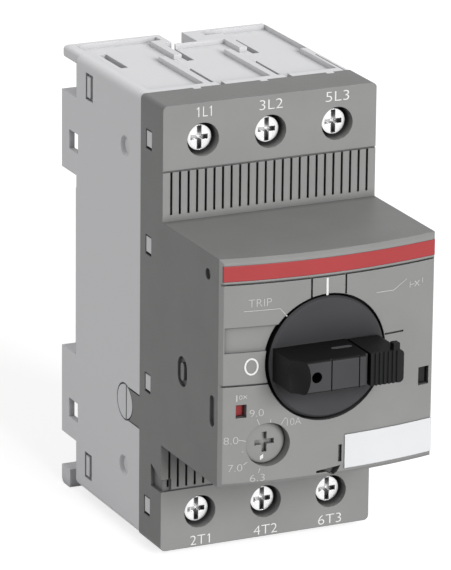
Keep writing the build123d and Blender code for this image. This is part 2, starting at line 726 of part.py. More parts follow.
# Cover: two terminal blocks and the bowed nose in one shell
with BuildPart() as front_cover:
    block((-HALF, HALF), (0, COVER_DEPTH), (0, HEIGHT))
    with BuildSketch(level(NOSE_HEIGHTS[0])) as nose_plan:
        with BuildLine():
            bow = [nose_point(x, 0) for x in (-HALF, 0, HALF)]
            ThreePointArc(*bow)
            Line(bow[2], (HALF, at_depth(COVER_DEPTH / 2)))
            Line((HALF, at_depth(COVER_DEPTH / 2)), (-HALF, at_depth(COVER_DEPTH / 2)))
            Line((-HALF, at_depth(COVER_DEPTH / 2)), bow[0])
        make_face()
    extrude(nose_plan.sketch, amount=length(NOSE_HEIGHTS))
    nose_face = faces().sort_by(Axis.Y)[0]
    chamfer(nose_face.edges(), NOSE_CHAMFER)
    rims = edges().filter_by(Axis.Y).filter_by(
        lambda e: abs(abs(e.center().X) - HALF) < 0.01 and e.length > COVER_DEPTH / 2
    )
    corner_edges = [
        e for e in rims if min(abs(e.center().Z - at_height(h)) for h in (0, HEIGHT)) < 0.01
    ]
    fillet(corner_edges, EDGE_ROUND)
    # Hollow: the terminal blocks, then the nose
    block(
        (-COVER_INNER, COVER_INNER),
        (COVER_WALL, COVER_DEPTH),
        (COVER_WALL, HEIGHT - COVER_WALL),
        Mode.SUBTRACT,
    )
    block(
        (-COVER_INNER, COVER_INNER),
        (-NOSE_CAVITY, COVER_WALL),
        (NOSE_HEIGHTS[0] + NOSE_WALL, NOSE_HEIGHTS[1] - NOSE_WALL),
        Mode.SUBTRACT,
    )
    # Tubes round the terminal screws
    for height in (UPPER_TERMINAL, LOWER_TERMINAL):
        for pole in POLES:
            tube_half = SCREW_HOLE_RADIUS + SCREW_TUBE_WALL
            tube_heights = around(height, tube_half)
            block(around(pole, tube_half), (COVER_WALL / 2, SCREW_TUBE_END), tube_heights)
            rod(pole, height, (0, SCREW_TUBE_END), SCREW_HOLE_RADIUS, Mode.SUBTRACT)
    # Vents and the grooves that bound their bands
    for heights in (UPPER_VENTS, LOWER_VENTS):
        with BuildSketch(front_plane(COVER_WALL)) as vents:
            with Locations((0, at_height(middle(heights)))):
                with GridLocations(VENT_PITCH, 0, VENT_COUNT, 1):
                    Rectangle(VENT_WIDTH, length(heights))
        extrude(vents.sketch, amount=COVER_WALL, mode=Mode.SUBTRACT)
    for height in (UPPER_BAND, LOWER_BAND):
        block((-HALF, HALF), (0, BAND_GROOVE), around(height, BAND_GROOVE / 2), Mode.SUBTRACT)
    # Inlays: stripe and label
    nose_band(STRIPE_X, (-CUT_OVER, INLAY_SINK), STRIPE_HEIGHTS, Mode.SUBTRACT)
    nose_band((LABEL_X[0], HALF + CUT_OVER), (-CUT_OVER, INLAY_SINK), LABEL_HEIGHTS, Mode.SUBTRACT)
    # Panel grooves and the sunk OFF field
    nose_band((-HALF, HALF), (-CUT_OVER, PANEL_SINK), around(GROOVE_HEIGHT, PANEL_GROOVE / 2), Mode.SUBTRACT)
    for x in POINTER_FIELD:
        nose_band(
            around(x, PANEL_GROOVE / 2),
            (-CUT_OVER, PANEL_SINK),
            (HANDLE_AT[1] + KNOB_RADIUS, GROOVE_HEIGHT),
            Mode.SUBTRACT,
        )
    nose_band(CHANNEL_X, (-CUT_OVER, PANEL_SINK), CHANNEL_HEIGHTS, Mode.SUBTRACT)
    off_groove = around(OFF_FIELD_FLOOR, PANEL_GROOVE / 2)
    nose_band((-HALF, CHANNEL_X[1] - CUT_OVER), (-CUT_OVER, PANEL_SINK), off_groove, Mode.SUBTRACT)
    step_groove = around(STEP_HEIGHT, PANEL_GROOVE / 2)
    nose_band(STEP_GROOVE_X, (-CUT_OVER, PANEL_SINK), step_groove, Mode.SUBTRACT)
    nose_band(LABEL_SLOT_X, (-CUT_OVER, LABEL_SLOT_SINK), LABEL_SLOT_HEIGHTS, Mode.SUBTRACT)
    notch_floor = -NOSE_REACH - NOSE_BULGE + CORNER_NOTCH_SINK
    notch = [(x, at_height(height)) for x, height in CORNER_NOTCH]
    profile(front_plane(notch_floor), notch, CORNER_NOTCH_SINK, Mode.SUBTRACT)
    # Pocket and bearing of the handle, hole of the dial
    front = -NOSE_REACH - NOSE_BULGE - CUT_OVER
    rod(*HANDLE_AT, (front, POCKET_FLOOR), KNOB_RADIUS + KNOB_GAP, Mode.SUBTRACT)
    rod(*HANDLE_AT, (front, -NOSE_CAVITY), HUB_RADIUS + HUB_PLAY, Mode.SUBTRACT)
    rod(*DIAL_AT, (front, -NOSE_CAVITY), DIAL_RADIUS + DIAL_PLAY, Mode.SUBTRACT)
    # Windows of the flag and the test button
    block(FLAG_WINDOW_X, (front, -NOSE_CAVITY), FLAG_WINDOW_HEIGHTS, Mode.SUBTRACT)
    block(TEST_WINDOW_X, (front, -NOSE_CAVITY + CUT_OVER), TEST_WINDOW_HEIGHTS, Mode.SUBTRACT)
    # Notches for the tabs of the base
    for heights in both_ends((HEIGHT - TAB_THICK - SHELL_PLAY, HEIGHT)):
        for pole in POLES:
            block(
                around(pole + TAB_AT, TAB_WIDTH / 2 + SHELL_PLAY),
                (COVER_DEPTH - TAB_REACH - SHELL_PLAY, COVER_DEPTH),
                heights,
                Mode.SUBTRACT,
            )
    # Snap windows, side tongues and side marks
    for side in (-1, 1):
        skin = side_plane(side * HALF)
        with BuildSketch(skin) as windows:
            for height in TAB_WINDOWS_AT:
                with Locations((at_depth(middle(TAB_WINDOW_DEPTHS)), at_height(height))):
                    Rectangle(length(TAB_WINDOW_DEPTHS), TAB_WINDOW_HEIGHT)
        extrude(windows.sketch, amount=-side * COVER_WALL, mode=Mode.SUBTRACT)
        with BuildSketch(side_plane(side * HALF)) as tongue:
            reach = (COVER_DEPTH - CUT_OVER, SNAP_BOSS_AT[0])
            with Locations((at_depth(middle(reach)), at_height(SNAP_BOSS_AT[1]))):
                Rectangle(length(reach), length(SNAP_TONGUE_HEIGHTS) - 2 * SNAP_TONGUE_GAP)
            with Locations((at_depth(SNAP_BOSS_AT[0]), at_height(SNAP_BOSS_AT[1]))):
                Circle(SNAP_BOSS_RADIUS + SNAP_TONGUE_GAP, mode=Mode.SUBTRACT)
        extrude(tongue.sketch, amount=-side * (SNAP_TONGUE_SINK - SNAP_TONGUE_GAP))
        with BuildSketch(skin) as marks:
            with Locations((at_depth(SIDE_BOSS_AT[0]), at_height(SIDE_BOSS_AT[1]))):
                SlotOverall(SIDE_BOSS_SIZE[1], SIDE_BOSS_SIZE[0], rotation=90)
                SlotOverall(
                    SIDE_BOSS_ISLAND[1], SIDE_BOSS_ISLAND[0], rotation=90, mode=Mode.SUBTRACT
                )
            with Locations((at_depth(SIDE_CUT_AT[0]), at_height(SIDE_CUT_AT[1]))):
                SlotOverall(SIDE_CUT_SIZE[1], SIDE_CUT_SIZE[0], rotation=90)
            with Locations((at_depth(SIDE_DIMPLE_AT[0]), at_height(SIDE_DIMPLE_AT[1]))):
                Circle(SIDE_DIMPLE_RADIUS)
        extrude(marks.sketch, amount=-side * SIDE_SLOT_SINK, mode=Mode.SUBTRACT)
        # Nick in the corner below the vents, with a slanted top on the side
        low, high, peak = (at_height(height) for height in NICK_HEIGHTS)
        front, rear = at_depth(0), at_depth(NICK_DEPTH)
        slant = [(front, low), (rear, low), (rear, peak), (front, high)]
        profile(side_plane(side * HALF), slant, -side * NICK_SINK, Mode.SUBTRACT)
        nick_x = sorted((side * HALF, side * (HALF - NICK_X)))
        block(nick_x, (0, NICK_SINK), NICK_HEIGHTS[:2], Mode.SUBTRACT)
save(front_cover.part, "front_cover")

# Inlays of the cover
with BuildPart() as red_stripe:
    nose_band(
        (STRIPE_X[0] + INLAY_PLAY, STRIPE_X[1] - INLAY_PLAY),
        (0, INLAY_SINK),
        (STRIPE_HEIGHTS[0] + INLAY_PLAY, STRIPE_HEIGHTS[1] - INLAY_PLAY),
    )
save(red_stripe.part, "red_stripe")

with BuildPart() as label_plate:
    nose_band(
        (LABEL_X[0] + INLAY_PLAY, LABEL_X[1]),
        (-LABEL_PROUD, INLAY_SINK),
        (LABEL_HEIGHTS[0] + INLAY_PLAY, LABEL_HEIGHTS[1] - INLAY_PLAY),
    )
save(label_plate.part, "label_plate")

# Rotary handle: disc, bar, guide of the padlock slide and hub in one moulding
with BuildPart() as handle_knob:
    rod(*HANDLE_AT, (KNOB_FACE, KNOB_BACK), KNOB_RADIUS)
    rim = faces().sort_by(Axis.Y)[0].edges()
    chamfer(rim, BAR_ROUND)
    bar_heights = around(HANDLE_AT[1], BAR_HALF_WIDTH)
    block((BAR_LEFT, BAR_RIGHT), (BAR_FACE, KNOB_FACE), bar_heights)
    long_edges = [
        e for e in edges().filter_by(Axis.X) if abs(e.center().Y - at_depth(BAR_FACE)) < 0.01
    ]
    fillet(long_edges, BAR_ROUND)
    guide_heights = around(HANDLE_AT[1], GUIDE_HALF_WIDTH)
    block((BAR_RIGHT, GUIDE_RIGHT), (GUIDE_FACE, KNOB_FACE), guide_heights)
    with Locations((THUMB_AT[0], at_depth(THUMB_AT[1]), at_height(HANDLE_AT[1]))):
        Sphere(THUMB_RADIUS, mode=Mode.SUBTRACT)
    pin_depths = (BAR_FACE, BAR_FACE + PIN_HOLE_SINK)
    rod(PIN_HOLE_X, HANDLE_AT[1], pin_depths, PIN_HOLE_RADIUS, Mode.SUBTRACT)
    pad_groove = around(PAD_RIGHT, PAD_GROOVE / 2)
    for x, sink in ((pad_groove, NOTCH_SINK), (NOTCH_X, NOTCH_SINK), (STEP_X, STEP_SINK)):
        block(x, (BAR_FACE, BAR_FACE + sink), bar_heights, Mode.SUBTRACT)
    post(PADLOCK_HOLE_X, PADLOCK_HOLE_DEPTH, guide_heights, PADLOCK_HOLE_RADIUS, Mode.SUBTRACT)
    rod(*HANDLE_AT, (KNOB_BACK, HUB_END), HUB_RADIUS)
    with BuildSketch(front_plane(RING_DEPTHS[1])) as ring_groove:
        with Locations((HANDLE_AT[0], at_height(HANDLE_AT[1]))):
            Circle(HUB_RADIUS)
            Circle(RING_GROOVE_RADIUS, mode=Mode.SUBTRACT)
    extrude(ring_groove.sketch, amount=length(RING_DEPTHS), mode=Mode.SUBTRACT)
    rod(*HANDLE_AT, (SHAFT_FRONT, HUB_END), SHAFT_RADIUS + SHAFT_PLAY, Mode.SUBTRACT)
save(handle_knob.part, "handle_knob")

with BuildPart() as retaining_ring:
    with BuildSketch(front_plane(RING_DEPTHS[1] - RING_PLAY)) as ring:
        with Locations((HANDLE_AT[0], at_height(HANDLE_AT[1]))):
            Circle(RING_RADIUS)
            Circle(RING_GROOVE_RADIUS, mode=Mode.SUBTRACT)
        with Locations((HANDLE_AT[0], at_height(HANDLE_AT[1]) - RING_RADIUS)):
            Rectangle(RING_OPENING, RING_RADIUS, mode=Mode.SUBTRACT)
    extrude(ring.sketch, amount=length(RING_DEPTHS) - RING_PLAY)
save(retaining_ring.part, "retaining_ring")

with BuildPart() as handle_shaft:
    rod(*HANDLE_AT, (SHAFT_FRONT, SHAFT_END), SHAFT_RADIUS)
save(handle_shaft.part, "handle_shaft")

crank_pin_at = (HANDLE_AT[0] + CRANK_RISE, HANDLE_AT[1] + CRANK_RISE)
with BuildPart() as crank_disc:
    rod(*HANDLE_AT, (SHAFT_END, SHAFT_END + CRANK_THICK), CRANK_RADIUS)
    pin_start = SHAFT_END + CRANK_THICK
    rod(*crank_pin_at, (pin_start, pin_start + CRANK_PIN_LENGTH), CRANK_PIN_RADIUS)
save(crank_disc.part, "crank_disc")

# Padlock slide: a ribbed cap that rides on the handle's guide
with BuildPart() as lock_slide:
    block(LOCK_X, (BAR_FACE, LOCK_BACK), bar_heights)
    fillet(edges().filter_by(Axis.Y).sort_by(Axis.X)[-2:], LOCK_ROUND)
    ear_heights = (HANDLE_AT[1] + GUIDE_HALF_WIDTH + GUIDE_PLAY, bar_heights[1] + LOCK_EAR_RISE)
    block(LOCK_EAR_X, (BAR_FACE, LOCK_EAR_BACK), ear_heights)
    core_heights = around(HANDLE_AT[1], GUIDE_HALF_WIDTH + GUIDE_PLAY)
    block(LOCK_X, (GUIDE_FACE - GUIDE_PLAY, LOCK_BACK), core_heights, Mode.SUBTRACT)
    with BuildSketch(front_plane(BAR_FACE + LOCK_RIB_SINK)) as ribs:
        with Locations((middle((LOCK_X[0], LOCK_EAR_X[1])), at_height(HANDLE_AT[1]))):
            with GridLocations(LOCK_RIB_PITCH, 0, LOCK_RIB_COUNT, 1):
                Rectangle(LOCK_RIB_WIDTH, 2 * BAR_HALF_WIDTH)
    extrude(ribs.sketch, amount=LOCK_RIB_SINK, mode=Mode.SUBTRACT)
save(lock_slide.part, "lock_slide")

# Current dial with its shaft and cam
with BuildPart() as setting_dial:
    rod(*DIAL_AT, (DIAL_FACE, DIAL_FLANGE_FRONT), DIAL_RADIUS)
    flange = (DIAL_FLANGE_FRONT, DIAL_FLANGE_FRONT + DIAL_FLANGE_THICK)
    rod(*DIAL_AT, flange, DIAL_FLANGE_RADIUS)
    rod(*DIAL_AT, (flange[1], DIAL_SHAFT_END), DIAL_SHAFT_RADIUS)
    rod(
        DIAL_AT[0],
        DIAL_AT[1] + CAM_OFFSET,
        (DIAL_SHAFT_END - CAM_THICK, DIAL_SHAFT_END),
        CAM_RADIUS,
    )
    with BuildSketch(front_plane(DIAL_FACE + DIAL_SLOT_SINK)) as slot:
        with Locations((DIAL_AT[0], at_height(DIAL_AT[1]))):
            Rectangle(*DIAL_SLOT)
            Rectangle(*DIAL_SLOT, rotation=90)
    extrude(slot.sketch, amount=DIAL_SLOT_SINK, mode=Mode.SUBTRACT)
save(setting_dial.part, "setting_dial")

# Trip flag and test button
with BuildPart() as trip_flag:
    flag_x = (FLAG_WINDOW_X[0] + FLAG_PLAY, FLAG_WINDOW_X[1] - FLAG_PLAY)
    flag_heights = (FLAG_WINDOW_HEIGHTS[0] + FLAG_PLAY, FLAG_WINDOW_HEIGHTS[1] - FLAG_PLAY)
    block(flag_x, (FLAG_FACE, FLAG_END), flag_heights)
    block(
        (flag_x[0] - FLAG_COLLAR, flag_x[1] + FLAG_COLLAR),
        FLAG_COLLAR_DEPTHS,
        (flag_heights[0] - FLAG_COLLAR, flag_heights[1] + FLAG_COLLAR),
    )
save(trip_flag.part, "trip_flag")

with BuildPart() as test_button:
    test_heights = (TEST_WINDOW_HEIGHTS[0] + TEST_PLAY, TEST_WINDOW_HEIGHTS[1] - TEST_PLAY)
    wedge_start = WEDGE + WEDGE_GAP
    plan = [
        (TEST_X[0], at_depth(TEST_FACE)),
        (TEST_X[1], at_depth(TEST_FACE)),
        (TEST_X[1], at_depth(TEST_X[1] - wedge_start)),
        (TEST_X[0], at_depth(TEST_X[0] - wedge_start)),
    ]
    profile(level(test_heights[0]), plan, length(test_heights))
    block(
        (TEST_X[0] - TEST_COLLAR, TEST_X[1]),
        TEST_COLLAR_DEPTHS,
        (test_heights[0] - TEST_COLLAR, test_heights[1] + TEST_COLLAR),
    )
save(test_button.part, "test_button")

# Thermal release: bracket, strips with their heaters, and the slider they push
with BuildPart() as bimetal_bracket:
    block((-GUIDE_POST_X[1], GUIDE_POST_X[1]), BRACKET_DEPTHS, BRACKET_HEIGHTS)
    for x in side_spans(GUIDE_POST_X[1], GUIDE_POST_X[0]):
        block(x, SLIDER_DEPTHS, (BRACKET_TOP, GUIDE_POST_TOP))
save(bimetal_bracket.part, "bimetal_bracket")

with BuildPart() as bimetal_strips:
    for pole in POLES:
        block(around(pole, STRIP_THICK / 2), STRIP_DEPTHS, (BRACKET_TOP, STRIP_TOP))
save(bimetal_strips.part, "bimetal_strips")

with BuildPart() as heater_windings:
    for pole in POLES:
        inner = STRIP_THICK / 2 + HEATER_PLAY
        depths = (STRIP_DEPTHS[0] - HEATER_PLAY, STRIP_DEPTHS[1] + HEATER_PLAY)
        outer_depths = (depths[0] - HEATER_WALL, depths[1] + HEATER_WALL)
        block(around(pole, inner + HEATER_WALL), outer_depths, HEATER_HEIGHTS)
        block(around(pole, inner), depths, HEATER_HEIGHTS, Mode.SUBTRACT)
save(heater_windings.part, "heater_windings")

with BuildPart() as trip_slider:
    plan = [
        (SLIDER_X[0], at_depth(SLIDER_DEPTHS[0])),
        (SLIDER_DEPTHS[0] + WEDGE, at_depth(SLIDER_DEPTHS[0])),
        (SLIDER_X[1], at_depth(SLIDER_X[1] - WEDGE)),
        (SLIDER_X[1], at_depth(SLIDER_DEPTHS[1])),
        (SLIDER_X[0], at_depth(SLIDER_DEPTHS[1])),
    ]
    profile(level(SLIDER_HEIGHTS[0]), plan, length(SLIDER_HEIGHTS))
    for pole in POLES:
        block(
            around(pole, SLIDER_SLOT_HALF),
            (STRIP_DEPTHS[0] - SLIDER_PLAY, STRIP_DEPTHS[1] + SLIDER_PLAY),
            SLIDER_HEIGHTS,
            Mode.SUBTRACT,
        )
save(trip_slider.part, "trip_slider")

# Mechanism plate: bearing of the shaft, feet on the pole walls, ledge for the spring
with BuildPart() as mechanism_plate:
    block((-PLATE_HALF_WIDTH, PLATE_HALF_WIDTH), PLATE_DEPTHS, PLATE_HEIGHTS)
    rod(*HANDLE_AT, BEARING_DEPTHS, BEARING_RADIUS)
    rod(*HANDLE_AT, BEARING_DEPTHS, SHAFT_RADIUS + BEARING_PLAY, Mode.SUBTRACT)
    block(LEDGE_X, (PLATE_DEPTHS[1], LEDGE_END), (PLATE_HEIGHTS[0], LEDGE_TOP))
    for side in (-1, 1):
        for height in PLATE_FEET:
            block(
                around(side * POLE_PITCH / 2, PARTITION_WALL / 2),
                (PLATE_DEPTHS[1], PARTITION_FRONT),
                around(height, PLATE_FOOT_HALF),
            )
save(mechanism_plate.part, "mechanism_plate")

# Contact carrier: yoke for the crank pin, web, beam and one window per pole
bridge_floor = CONTACT_SEAT + TIP_THICK + BRIDGE_GAP + TIP_THICK
window_top = bridge_floor + CARRIER_WINDOW
carrier_floor = bridge_floor - CARRIER_SILL
with BuildPart() as contact_carrier:
    block(YOKE_X, YOKE_DEPTHS, (YOKE_FLOOR, beam_top))
    block(YOKE_X, (YOKE_DEPTHS[1], CARRIER_DEPTHS[0]), (window_top, beam_top))
    block((-CARRIER_HALF_WIDTH, CARRIER_HALF_WIDTH), CARRIER_DEPTHS, (window_top, beam_top))
    for pole in POLES:
        block(around(pole, CARRIER_BLOCK_HALF), CARRIER_DEPTHS, (carrier_floor, window_top))
        window_half = BRIDGE_HALF_WIDTH + BRIDGE_PLAY
        window = (bridge_floor, window_top)
        block(around(pole, window_half), CARRIER_DEPTHS, window, Mode.SUBTRACT)
        sill = (carrier_floor, bridge_floor)
        drum(pole, COIL_AT, sill, PLUNGER_PIN_RADIUS + PIN_PLAY, Mode.SUBTRACT)
    slot_half = CRANK_PIN_RADIUS + YOKE_PIN_PLAY
    slot_x = (crank_pin_at[0] - slot_half, HANDLE_AT[0] + CRANK_THROW + slot_half)
    block(slot_x, YOKE_DEPTHS, around(crank_pin_at[1], slot_half), Mode.SUBTRACT)
save(contact_carrier.part, "contact_carrier")

# Moving bridges with their contact tips
with BuildPart() as contact_bridges:
    for pole in POLES:
        bar = (bridge_floor, bridge_floor + COPPER)
        block(around(pole, BRIDGE_HALF_WIDTH), BRIDGE_DEPTHS, bar)
        for tip in (FRONT_TIP, REAR_TIP):
            tip_heights = (bridge_floor - TIP_THICK, bridge_floor)
            block(around(pole, TIP_HALF_WIDTH), tip, tip_heights)
save(contact_bridges.part, "contact_bridges")

contact_coils = [
    coil_spring(
        pole,
        COIL_AT,
        (bridge_floor + COPPER, window_top),
        CONTACT_SPRING_RADIUS,
        CONTACT_SPRING_WIRE,
        CONTACT_SPRING_TURNS,
    )
    for pole in POLES
]
save(Compound(children=contact_coils), "contact_springs")

opening_spring = coil_spring(
    OPENING_SPRING_X,
    OPENING_SPRING_DEPTH,
    (LEDGE_TOP, YOKE_FLOOR),
    OPENING_SPRING_RADIUS,
    OPENING_SPRING_WIRE,
    OPENING_SPRING_TURNS,
)
save(opening_spring, "opening_spring")

# Fixed copper of the line side: terminal bar, run, leg and contact foot
with BuildPart() as line_bars:
    foot_heights = (CONTACT_SEAT - COPPER, CONTACT_SEAT)
    leg_end = REAR_LEG + COPPER
    for pole in POLES:
        wide = around(pole, CHAMBER_HALF)
        block(around(pole, TERMINAL_BAR_HALF), BAR_DEPTHS, (LINE_RUN, LINE_BAR_TOP))
        block(wide, (BAR_DEPTHS[0], leg_end), (LINE_RUN, LINE_RUN + COPPER))
        block(wide, (REAR_LEG, leg_end), (foot_heights[0], LINE_RUN))
        block(wide, (REAR_TIP[0] - TIP_MARGIN, leg_end), foot_heights)
        tip_heights = (CONTACT_SEAT, CONTACT_SEAT + TIP_THICK)
        block(around(pole, TIP_HALF_WIDTH), REAR_TIP, tip_heights)
save(line_bars.part, "line_bars")

# Fixed contacts that feed the coils
with BuildPart() as load_contacts:
    for pole in POLES:
        wide = around(pole, CHAMBER_HALF)
        tail_depths = (FEEDER_DEPTHS[0], FEEDER_DEPTHS[0] + COPPER)
        block(wide, FEEDER_DEPTHS, foot_heights)
        block(around(pole, TIP_HALF_WIDTH), FRONT_TIP, tip_heights)
        tail = around(pole, TERMINAL_BAR_HALF)
        block(tail, tail_depths, (FEEDER_TAIL_END, CONTACT_SEAT))
        foot = (FEEDER_TAIL_END, FEEDER_TAIL_END + COPPER)
        block(tail, (FEEDER_DEPTHS[0], FEEDER_FOOT), foot)
save(load_contacts.part, "load_contacts")

# Bars of the load side, from the bimetal bracket to the lower terminals
with BuildPart() as load_bars:
    run_heights = (LOAD_RUN, LOAD_RUN + COPPER)
    for pole in POLES:
        block(around(pole, TERMINAL_BAR_HALF), BAR_DEPTHS, (LOAD_BAR_FLOOR, LOAD_RUN))
        block(around(pole, TERMINAL_BAR_HALF), (BRACKET_DEPTHS[1], BAR_DEPTHS[0]), run_heights)
        block(around(pole, CHAMBER_HALF), BAR_DEPTHS, run_heights)
save(load_bars.part, "load_bars")

# Arc plates, notched towards the contacts
with BuildPart() as arc_plates:
    for pole in POLES:
        for depths, floor in ((FRONT_ARC, FRONT_ARC_FLOOR), (REAR_ARC, REAR_ARC_FLOOR)):
            edge = depths[1] if depths == FRONT_ARC else depths[0]
            inward = -ARC_NOTCH if depths == FRONT_ARC else ARC_NOTCH
            for step in range(ARC_COUNT):
                bottom = floor + step * ARC_PITCH
                block(around(pole, CHAMBER_HALF), depths, (bottom, bottom + ARC_PLATE))
                notch = [
                    (pole - ARC_NOTCH, at_depth(edge)),
                    (pole, at_depth(edge + inward)),
                    (pole + ARC_NOTCH, at_depth(edge)),
                ]
                profile(level(bottom), notch, ARC_PLATE, Mode.SUBTRACT)
save(arc_plates.part, "arc_plates")

# Magnetic release: yoke, bobbin, winding and plunger of each pole
with BuildPart() as magnet_yokes:
    low, high = YOKE_PLATE_HEIGHTS
    for pole in POLES:
        wide = around(pole, CHAMBER_HALF)
        rear = (YOKE_PLATE_DEPTHS[1] - COPPER, YOKE_PLATE_DEPTHS[1])
        block(wide, rear, YOKE_PLATE_HEIGHTS)
        block(wide, YOKE_PLATE_DEPTHS, (low, low + COPPER))
        block(wide, YOKE_PLATE_DEPTHS, (high - COPPER, high))
        drum(pole, COIL_AT, (high - COPPER, high), PLUNGER_PIN_RADIUS + PIN_PLAY, Mode.SUBTRACT)
        stub = (low + COPPER, PLUNGER_HEIGHTS[0] - PLUNGER_STOP_GAP)
        drum(pole, COIL_AT, stub, PLUNGER_RADIUS)
save(magnet_yokes.part, "magnet_yokes")

coil_heights = (YOKE_PLATE_HEIGHTS[0] + COPPER, YOKE_PLATE_HEIGHTS[1] - COPPER)
with BuildPart() as coil_bobbins:
    for pole in POLES:
        drum(pole, COIL_AT, coil_heights, BOBBIN_RADIUS)
        flange_depths = around(COIL_AT, BOBBIN_FLANGE)
        for foot in (coil_heights[0], coil_heights[1] - BOBBIN_FLANGE_THICK):
            flange = (foot, foot + BOBBIN_FLANGE_THICK)
            block(around(pole, BOBBIN_FLANGE), flange_depths, flange)
        drum(pole, COIL_AT, coil_heights, PLUNGER_RADIUS + PLUNGER_PLAY, Mode.SUBTRACT)
save(coil_bobbins.part, "coil_bobbins")

with BuildPart() as coil_windings:
    winding = (coil_heights[0] + BOBBIN_FLANGE_THICK, coil_heights[1] - BOBBIN_FLANGE_THICK)
    for pole in POLES:
        drum(pole, COIL_AT, winding, WINDING_RADIUS)
        drum(pole, COIL_AT, winding, BOBBIN_RADIUS, Mode.SUBTRACT)
save(coil_windings.part, "coil_windings")

for number, pole in enumerate(POLES, 1):
    with BuildPart() as plunger:
        post(pole, COIL_AT, PLUNGER_HEIGHTS, PLUNGER_RADIUS)
        post(pole, COIL_AT, (PLUNGER_HEIGHTS[1], PLUNGER_PIN_TOP), PLUNGER_PIN_RADIUS)
    save(plunger.part, f"plunger_{number}")

# Terminals: one screw and one box clamp each, line side first
terminals = [(pole, height) for height in (UPPER_TERMINAL, LOWER_TERMINAL) for pole in POLES]
for number, (x, height) in enumerate(terminals, 1):
    with BuildPart() as terminal_screw:
        rod(x, height, SCREW_HEAD, SCREW_HEAD_RADIUS)
        rod(x, height, (SCREW_HEAD[1], SCREW_TIP), SCREW_RADIUS)
        with BuildSketch(front_plane(SCREW_HEAD[0] + SCREW_SLOT_SINK)) as slots:
            with Locations((x, at_height(height))):
                Rectangle(*SCREW_SLOT)
                Rectangle(*SCREW_CROSS, rotation=90)
        extrude(slots.sketch, amount=SCREW_SLOT_SINK, mode=Mode.SUBTRACT)
    save(terminal_screw.part, f"terminal_screw_{number}")
    with BuildPart() as terminal_clamp:
        clamp_end = CLAMP_FRONT + CLAMP_LENGTH
        outer = around(height, CLAMP_HALF_HEIGHT)
        block(around(x, CLAMP_HALF_WIDTH), (CLAMP_FRONT, clamp_end), outer)
        block(
            around(x, CLAMP_HALF_WIDTH - CLAMP_WALL),
            (CLAMP_FRONT + CLAMP_FRONT_WALL, clamp_end - CLAMP_WALL),
            outer,
            Mode.SUBTRACT,
        )
        hole = SCREW_RADIUS + CLAMP_PLAY
        hole_depths = (CLAMP_FRONT, CLAMP_FRONT + CLAMP_FRONT_WALL)
        rod(x, height, hole_depths, hole, Mode.SUBTRACT)
    save(terminal_clamp.part, f"terminal_clamp_{number}")

# Rail latch: plate with the beak behind the rail, pull foot below the housing
with BuildPart() as rail_latch:
    beak_top = rail_bottom + HOOK_GRIP
    block((-LATCH_HALF_WIDTH, LATCH_HALF_WIDTH), hook_depths, (FOOT_HEIGHTS[0], beak_top))
    block((-FOOT_HALF_WIDTH, FOOT_HALF_WIDTH), FOOT_DEPTHS, FOOT_HEIGHTS)
    low_edges = edges().filter_by(Axis.X).group_by(Axis.Z)[0].sort_by(Axis.Y)
    fillet(low_edges[-1], FOOT_ROUND)
    pocket_x = (-LATCH_POCKET_HALF, LATCH_POCKET_HALF)
    block(pocket_x, hook_depths, LATCH_POCKET, Mode.SUBTRACT)
save(rail_latch.part, "rail_latch")

latch_spring = coil_spring(
    0,
    middle(hook_depths),
    (LATCH_PEG_HEIGHTS[1], LATCH_POCKET[1]),
    LATCH_SPRING_RADIUS,
    LATCH_SPRING_WIRE,
    LATCH_SPRING_TURNS,
)
save(latch_spring, "latch_spring")
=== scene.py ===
import json
import math

import bmesh
import bpy
from mathutils import Matrix, Vector


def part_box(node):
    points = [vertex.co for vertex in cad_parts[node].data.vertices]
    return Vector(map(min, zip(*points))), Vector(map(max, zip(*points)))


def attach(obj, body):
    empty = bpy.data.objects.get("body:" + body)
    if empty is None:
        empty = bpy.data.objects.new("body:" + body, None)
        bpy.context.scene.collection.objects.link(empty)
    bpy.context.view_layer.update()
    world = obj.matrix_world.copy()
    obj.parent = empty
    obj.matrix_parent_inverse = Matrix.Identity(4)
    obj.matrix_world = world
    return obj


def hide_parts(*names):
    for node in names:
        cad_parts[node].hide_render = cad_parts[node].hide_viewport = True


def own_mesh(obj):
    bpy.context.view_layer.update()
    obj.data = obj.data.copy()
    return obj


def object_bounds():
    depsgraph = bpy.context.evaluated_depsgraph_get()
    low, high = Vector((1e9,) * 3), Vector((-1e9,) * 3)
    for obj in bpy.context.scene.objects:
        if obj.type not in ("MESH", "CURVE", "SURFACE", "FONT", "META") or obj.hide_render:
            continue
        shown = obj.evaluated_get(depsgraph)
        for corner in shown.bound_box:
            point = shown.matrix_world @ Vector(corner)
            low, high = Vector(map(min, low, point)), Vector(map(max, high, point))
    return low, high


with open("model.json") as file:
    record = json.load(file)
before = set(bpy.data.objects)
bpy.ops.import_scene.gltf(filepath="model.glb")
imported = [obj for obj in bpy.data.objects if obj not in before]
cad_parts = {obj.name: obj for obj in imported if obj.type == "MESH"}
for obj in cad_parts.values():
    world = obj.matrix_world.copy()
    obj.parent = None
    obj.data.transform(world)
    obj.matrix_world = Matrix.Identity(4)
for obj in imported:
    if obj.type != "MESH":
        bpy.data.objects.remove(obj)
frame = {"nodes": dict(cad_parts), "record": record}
cad_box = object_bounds()
nodes = frame["nodes"]

# Sizes that the solids share, in millimetres but for MM itself
MM = 0.001
RAIL_HEIGHT = 46.25
BODY_DEPTH = 41.4
TERMINAL_FRONT = 0.0
NOSE_RADIUS = 105.4
NOSE_FRONT = -28.49
DISC_FACE = -28.6
DIAL_FACE = -25.9
DIAL_AT = (-13.0, 29.8)
BAR_TOP = 49.1


def at(x, depth, height):
    """Point from millimetres behind the terminal front and above the underside."""
    return Vector((x, depth - BODY_DEPTH, height - RAIL_HEIGHT)) * MM


def terminal_depth(x):
    return TERMINAL_FRONT


